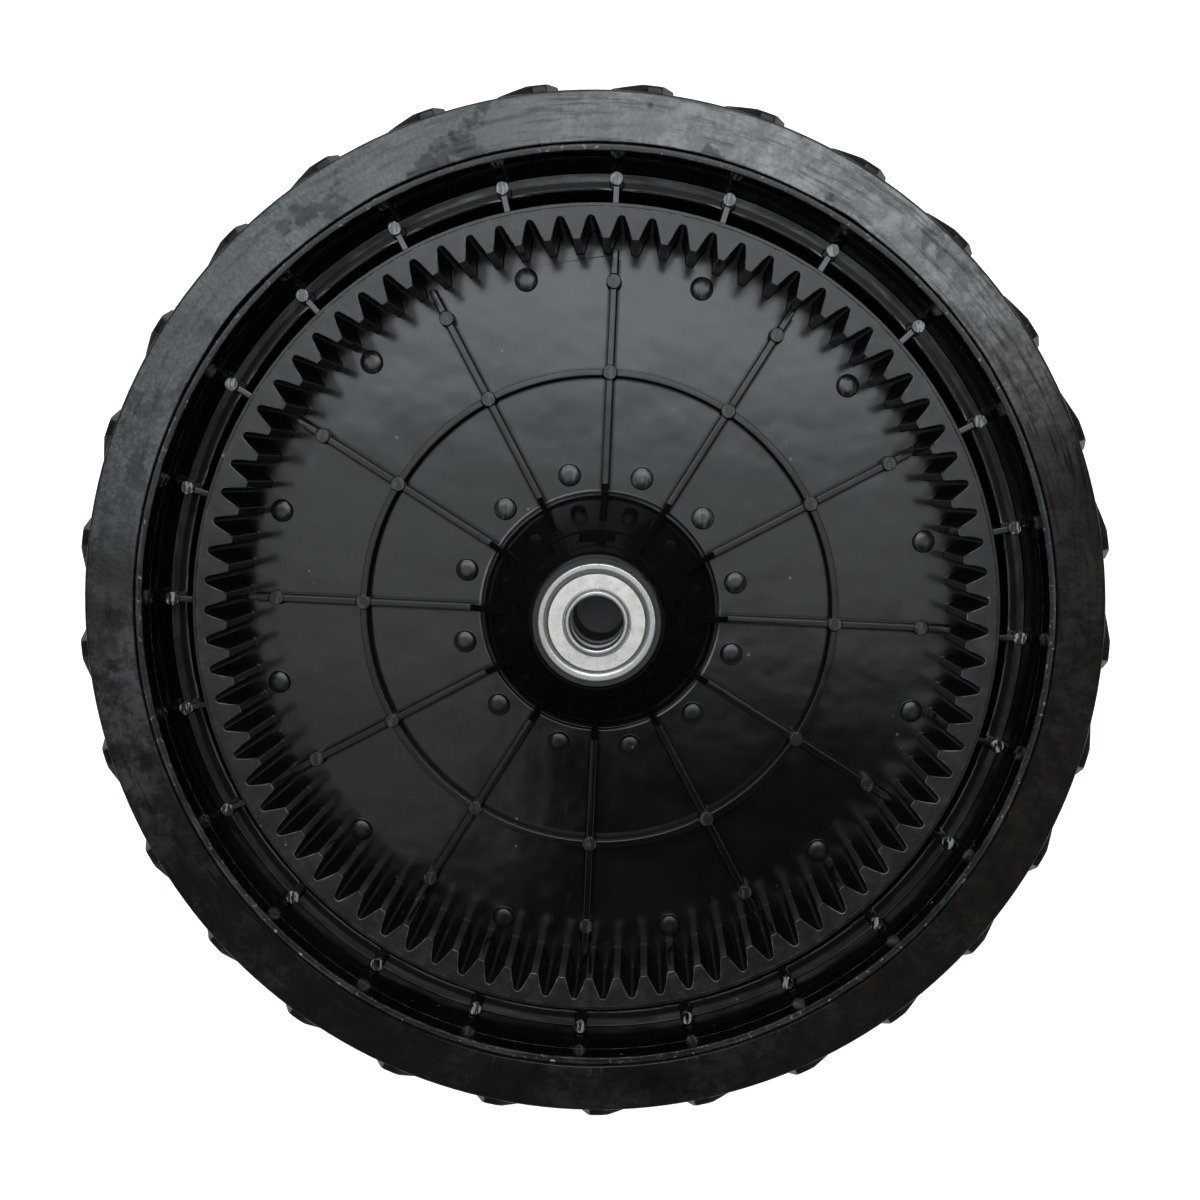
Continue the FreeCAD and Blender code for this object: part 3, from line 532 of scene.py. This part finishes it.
# Reach of a lug's two sides along the tread, at depths from its end to the middle of the tread
SHORT_SIDE = ((0.6, -1.5), (5.6, -4.0), (25.0, 7.0))
LONG_SIDE = ((0.6, 1.5), (7.6, 9.5), (25.0, 17.0))

# Rise of a lug's side wall: distance from the side's line and share of the lug's height
WALL = ((-0.3, 0.0), (-0.12, 0.05), (-0.02, 0.3), (0.06, 0.72), (0.2, 0.94), (0.45, 1.0))
TOP_STEPS = 4
GROOVE_STEPS = 6

# Depths behind the flank at which a section has a point, up to the middle of the tread
DEPTHS = (
    0.0, 0.05, 0.15, 0.3, 0.45, 0.58, 0.64, 0.74, 0.95, 1.4, 2.0, 3.0, 4.3, 5.6, 7.6, 10.0, 13.0, 16.0,
    19.0, 22.0, 24.0, 24.7, 25.0,
)
END_RISE = 0.35

# The flank, bead and seat from the gear side's flank to the far one: radius and height
INSIDE_LINE = (
    (112.0, TYRE_WIDTH), (109.0, TYRE_WIDTH), (106.5, TYRE_WIDTH), (103.82, TYRE_WIDTH), (103.72, 49.97),
    (103.65, 49.9), (103.61, 49.8), (103.6, 49.6), (103.6, 45.0), (103.6, 27.1), (103.5, 26.85),
    (100.2, 26.15), (100.0, 25.9), (100.0, 16.9), (100.2, 16.65), (103.5, 15.95), (103.6, 15.7),
    (103.6, 5.0), (103.6, 0.5), (103.62, 0.3), (103.7, 0.14), (103.82, 0.04), (104.0, 0.0),
    (106.5, 0.0), (109.0, 0.0), (112.0, 0.0),
)

# Bead on the gear side: limits of its points, its waviness, and wide gaps by angle, reach and width
BEAD_RADIUS = 103.9
BEAD_HEIGHT = 46.0
BEAD_WAVE = 0.2
WAVE_LENGTH = 14.0
WIDE_GAPS = ((139.0, 10.0, 0.6), (58.0, 5.0, 0.35))


def between(line, place):
    """The value at a place on a line of (place, value) points."""
    for (start, low), (end, high) in zip(line, line[1:]):
        if place <= end:
            share = max(0.0, (place - start) / (end - start))
            return low + (high - low) * share
    return line[-1][1]


def pitch_columns(depth):
    """Places along one pitch of the tread at a depth, with the share of the lug's height at each."""
    short = between(SHORT_SIDE, depth)
    long = between(LONG_SIDE, depth)
    pitch = 2 * math.pi * TREAD_RADIUS / LUG_COUNT
    columns = [(short + off, share) for off, share in WALL]
    first, last = columns[-1][0], long - WALL[-1][0]
    columns += [(first + (last - first) * i / TOP_STEPS, 1.0) for i in range(1, TOP_STEPS)]
    columns += [(long - off, share) for off, share in reversed(WALL)]
    first, last = columns[-1][0], pitch + columns[0][0]
    columns += [(first + (last - first) * i / GROOVE_STEPS, 0.0) for i in range(1, GROOVE_STEPS)]
    return columns


def tread_rows():
    """For each depth across the tread: the height and a list of (angle, radius) once around."""
    rows = []
    for depth in DEPTHS:
        edge = max(0.0, TREAD_EDGE - depth)
        ground = TREAD_RADIUS - TREAD_EDGE + math.sqrt(TREAD_EDGE ** 2 - edge ** 2)
        drop = LUG_END_DROP * max(0.0, 1.0 - depth / LUG_END_SLOPE)
        rise = min(1.0, max(0.0, (depth - LUG_INSET) / END_RISE))
        height = (LUG_HEIGHT - drop) * math.sqrt(1.0 - (1.0 - rise) ** 2)
        around = []
        for lug in range(LUG_COUNT):
            start = math.radians(LUG_ANGLE) + 2 * math.pi * lug / LUG_COUNT
            for place, share in pitch_columns(depth):
                around.append((start + place / TREAD_RADIUS, ground + height * share))
        rows.append((depth, around))
    near = [(TYRE_WIDTH - depth, around) for depth, around in rows]
    far = [(depth, around) for depth, around in reversed(rows[:-1])]
    return near + far


def bead_gap(angle):
    """How far the gear side's bead stands off the rim lip at an angle."""
    spot = Vector((math.cos(angle), math.sin(angle), 0.0)) * BEAD_RADIUS / WAVE_LENGTH
    gap = BEAD_WAVE * max(0.0, noise.noise(spot))
    for middle, reach, width in WIDE_GAPS:
        off = abs((math.degrees(angle) - RIB_TURN - middle + 180.0) % 360.0 - 180.0)
        gap += width * max(0.0, 1.0 - off / reach)
    return gap


def show_tyre(finish):
    """The lugged tyre with rounded edges and an uneven bead."""
    bm = bmesh.new()
    loops = [[(radius, angle, height) for angle, radius in around] for height, around in tread_rows()]
    flank_angles = [angle for radius, angle, height in loops[0]]
    inside = []
    for radius, height in reversed(INSIDE_LINE):
        is_bead = radius < BEAD_RADIUS and height > BEAD_HEIGHT
        inside.append([(radius + bead_gap(a) if is_bead else radius, a, height) for a in flank_angles])
    rows = []
    for loop in loops + inside:
        spots = [Vector((r * math.cos(a), r * math.sin(a), h)) * MM for r, a, h in loop]
        rows.append([bm.verts.new(spot) for spot in spots])
    for row, following in zip(rows, rows[1:] + rows[:1]):
        for i in range(len(row)):
            bm.faces.new((row[i - 1], row[i], following[i], following[i - 1]))
    bmesh.ops.recalc_face_normals(bm, faces=bm.faces)
    show(bm, "tyre", finish)


# Stage, light and camera

FRAME_PIXELS = 1200
FOCAL_PIXELS = 1700
SENSOR_WIDTH = 36.0
CAMERA_PLACE = Vector((9.706, 31.704, 430.774)) * MM
CAMERA_PITCH = 0.15461
CAMERA_YAW = 0.00794
LENS_CENTRE_RIGHT = 53.29
LENS_CENTRE_DOWN = 145.12


def add_camera():
    """The photograph's camera: above the wheel, tipped a little towards its lower edge."""
    data = bpy.data.cameras.new("camera")
    data.sensor_width = SENSOR_WIDTH
    data.lens = SENSOR_WIDTH * FOCAL_PIXELS / FRAME_PIXELS
    data.shift_x = -LENS_CENTRE_RIGHT / FRAME_PIXELS
    data.shift_y = LENS_CENTRE_DOWN / FRAME_PIXELS
    data.clip_start = 0.01
    camera = bpy.data.objects.new("camera", data)
    bpy.context.scene.collection.objects.link(camera)
    tilt = Matrix.Rotation(CAMERA_PITCH, 4, "X") @ Matrix.Rotation(CAMERA_YAW, 4, "Y")
    turn = Matrix.Rotation(math.radians(RIB_TURN), 4, "Z")
    camera.matrix_world = turn @ Matrix.Translation(CAMERA_PLACE) @ tilt.transposed()
    bpy.context.scene.camera = camera


# Floor: half its side in metres, and its drop below the wheel in millimetres
FLOOR_REACH = 6.0
FLOOR_DROP = 0.2


def add_floor():
    """The pale floor just below the wheel."""
    bm = bmesh.new()
    bmesh.ops.create_grid(bm, x_segments=1, y_segments=1, size=FLOOR_REACH)
    mesh = bpy.data.meshes.new("floor")
    bm.to_mesh(mesh)
    bm.free()
    mesh.materials.append(pale_floor())
    floor = bpy.data.objects.new("floor", mesh)
    floor.location.z = -FLOOR_DROP * MM
    bpy.context.scene.collection.objects.link(floor)


PANEL_COLOUR = (0.92, 1.0, 1.04, 1.0)
PANEL_HEIGHT = 1.5
PANEL_LEFT = -1.1
PANEL_RIGHT = 0.9
PANEL_LOW = -0.6
PANEL_HIGH = 2.1

# Where the panel glows, in metres: left, right, low and high edge, soft border beyond them, strength
GLOWS = (
    (-0.7, 0.4, 0.9, 1.7, 0.2, 4.0),
    (-0.5, 0.45, 0.24, 0.55, 0.22, 2.6),
    (-0.38, 0.32, -0.04, 0.55, 0.22, 1.3),
    (-0.4, -0.18, -0.34, -0.22, 0.14, 0.65),
)


def add_panel():
    """One wide, slightly cool panel overhead with soft patches that glow."""
    data = bpy.data.lights.new("panel", "AREA")
    data.shape = "RECTANGLE"
    data.size = PANEL_RIGHT - PANEL_LEFT
    data.size_y = PANEL_HIGH - PANEL_LOW
    data.energy = math.pi * data.size * data.size_y
    data.use_nodes = True
    g = Graph(data.node_tree)
    share = g.add("ShaderNodeSeparateXYZ", inputs={0: g.add("ShaderNodeNewGeometry").other("Parametric")})
    across = PANEL_LEFT + data.size * share
    along = PANEL_LOW + data.size_y * share.other("Y")
    patches = []
    for left, right, low, high, soft, strength in GLOWS:
        patches.append(g.inside(across, left, right, soft) * g.inside(along, low, high, soft) * strength)
    glow = sum(patches[1:], patches[0])
    lamp = g.add("ShaderNodeEmission", inputs={"Color": PANEL_COLOUR, "Strength": glow})
    g.add("ShaderNodeOutputLight", inputs={"Surface": lamp})
    panel = bpy.data.objects.new("panel", data)
    panel.location = ((PANEL_LEFT + PANEL_RIGHT) / 2, (PANEL_LOW + PANEL_HIGH) / 2, PANEL_HEIGHT)
    bpy.context.scene.collection.objects.link(panel)


# The room: brightness overhead, of a soft band above the horizon, as seen by the camera; edges of the band
ROOM_DIM = 0.015
ROOM_BAND = 0.3
ROOM_SEEN = 0.85
BAND_LOW = 0.35
BAND_HIGH = 0.7
BAND_SOFT = 0.15


def add_room():
    """A room that is dim overhead and lighter around, in front of pale walls."""
    world = bpy.data.worlds.new("studio")
    world.use_nodes = True
    g = Graph(world.node_tree)
    heading = g.add("ShaderNodeSeparateXYZ", inputs={0: g.add("ShaderNodeTexCoord").other("Generated")})
    in_band = g.inside(heading.other("Z"), BAND_LOW, BAND_HIGH, BAND_SOFT)
    band = ROOM_DIM + (ROOM_BAND - ROOM_DIM) * in_band
    seen = g.add("ShaderNodeLightPath").other("Is Camera Ray")
    level = band * (1 - seen) + ROOM_SEEN * seen
    wall = g.add("ShaderNodeBackground", inputs={"Color": grey(1.0), "Strength": level})
    g.add("ShaderNodeOutputWorld", inputs={"Surface": wall})
    bpy.context.scene.world = world


add_camera()
add_floor()
add_room()
add_panel()
bpy.context.scene.view_settings.view_transform = "Standard"

race = turned_steel("race_steel", 0.42, 0.25, 0.36, shade_radius=13.35)
shield = turned_steel("shield_steel", 0.66, 0.4, 0.55, shade_radius=20.0, marks=0.002, warmth=0.06)
polished = turned_steel("polished_steel", 0.78, 0.08, 0.16, shade_radius=20.0)
tube = turned_steel("tube_steel", 0.5, 0.3, 0.45, shade_radius=20.0)

# Finish, width of the rounded edges, the angle from which an edge is rounded, and any larger rounds
LOOKS = {
    "moulded_plastic": (moulded_plastic(), 0.2, 24, MOULDED_ROUNDS),
    "race_steel": (race, 0.1, 60),
    "shield_steel": (shield, 0.06, 60),
    "spacer_steel": (tube, 0.25, 60),
}
INSIDE = {"ball_steel": polished, "cage_steel": tube}

show_tyre(tyre_rubber())
for node, slot in SLOT_OF.items():
    if slot in LOOKS:
        show_rounded(node, *LOOKS[slot])
    elif slot in INSIDE:
        mesh = frame["nodes"][node].data
        mesh.materials.clear()
        mesh.materials.append(INSIDE[slot])
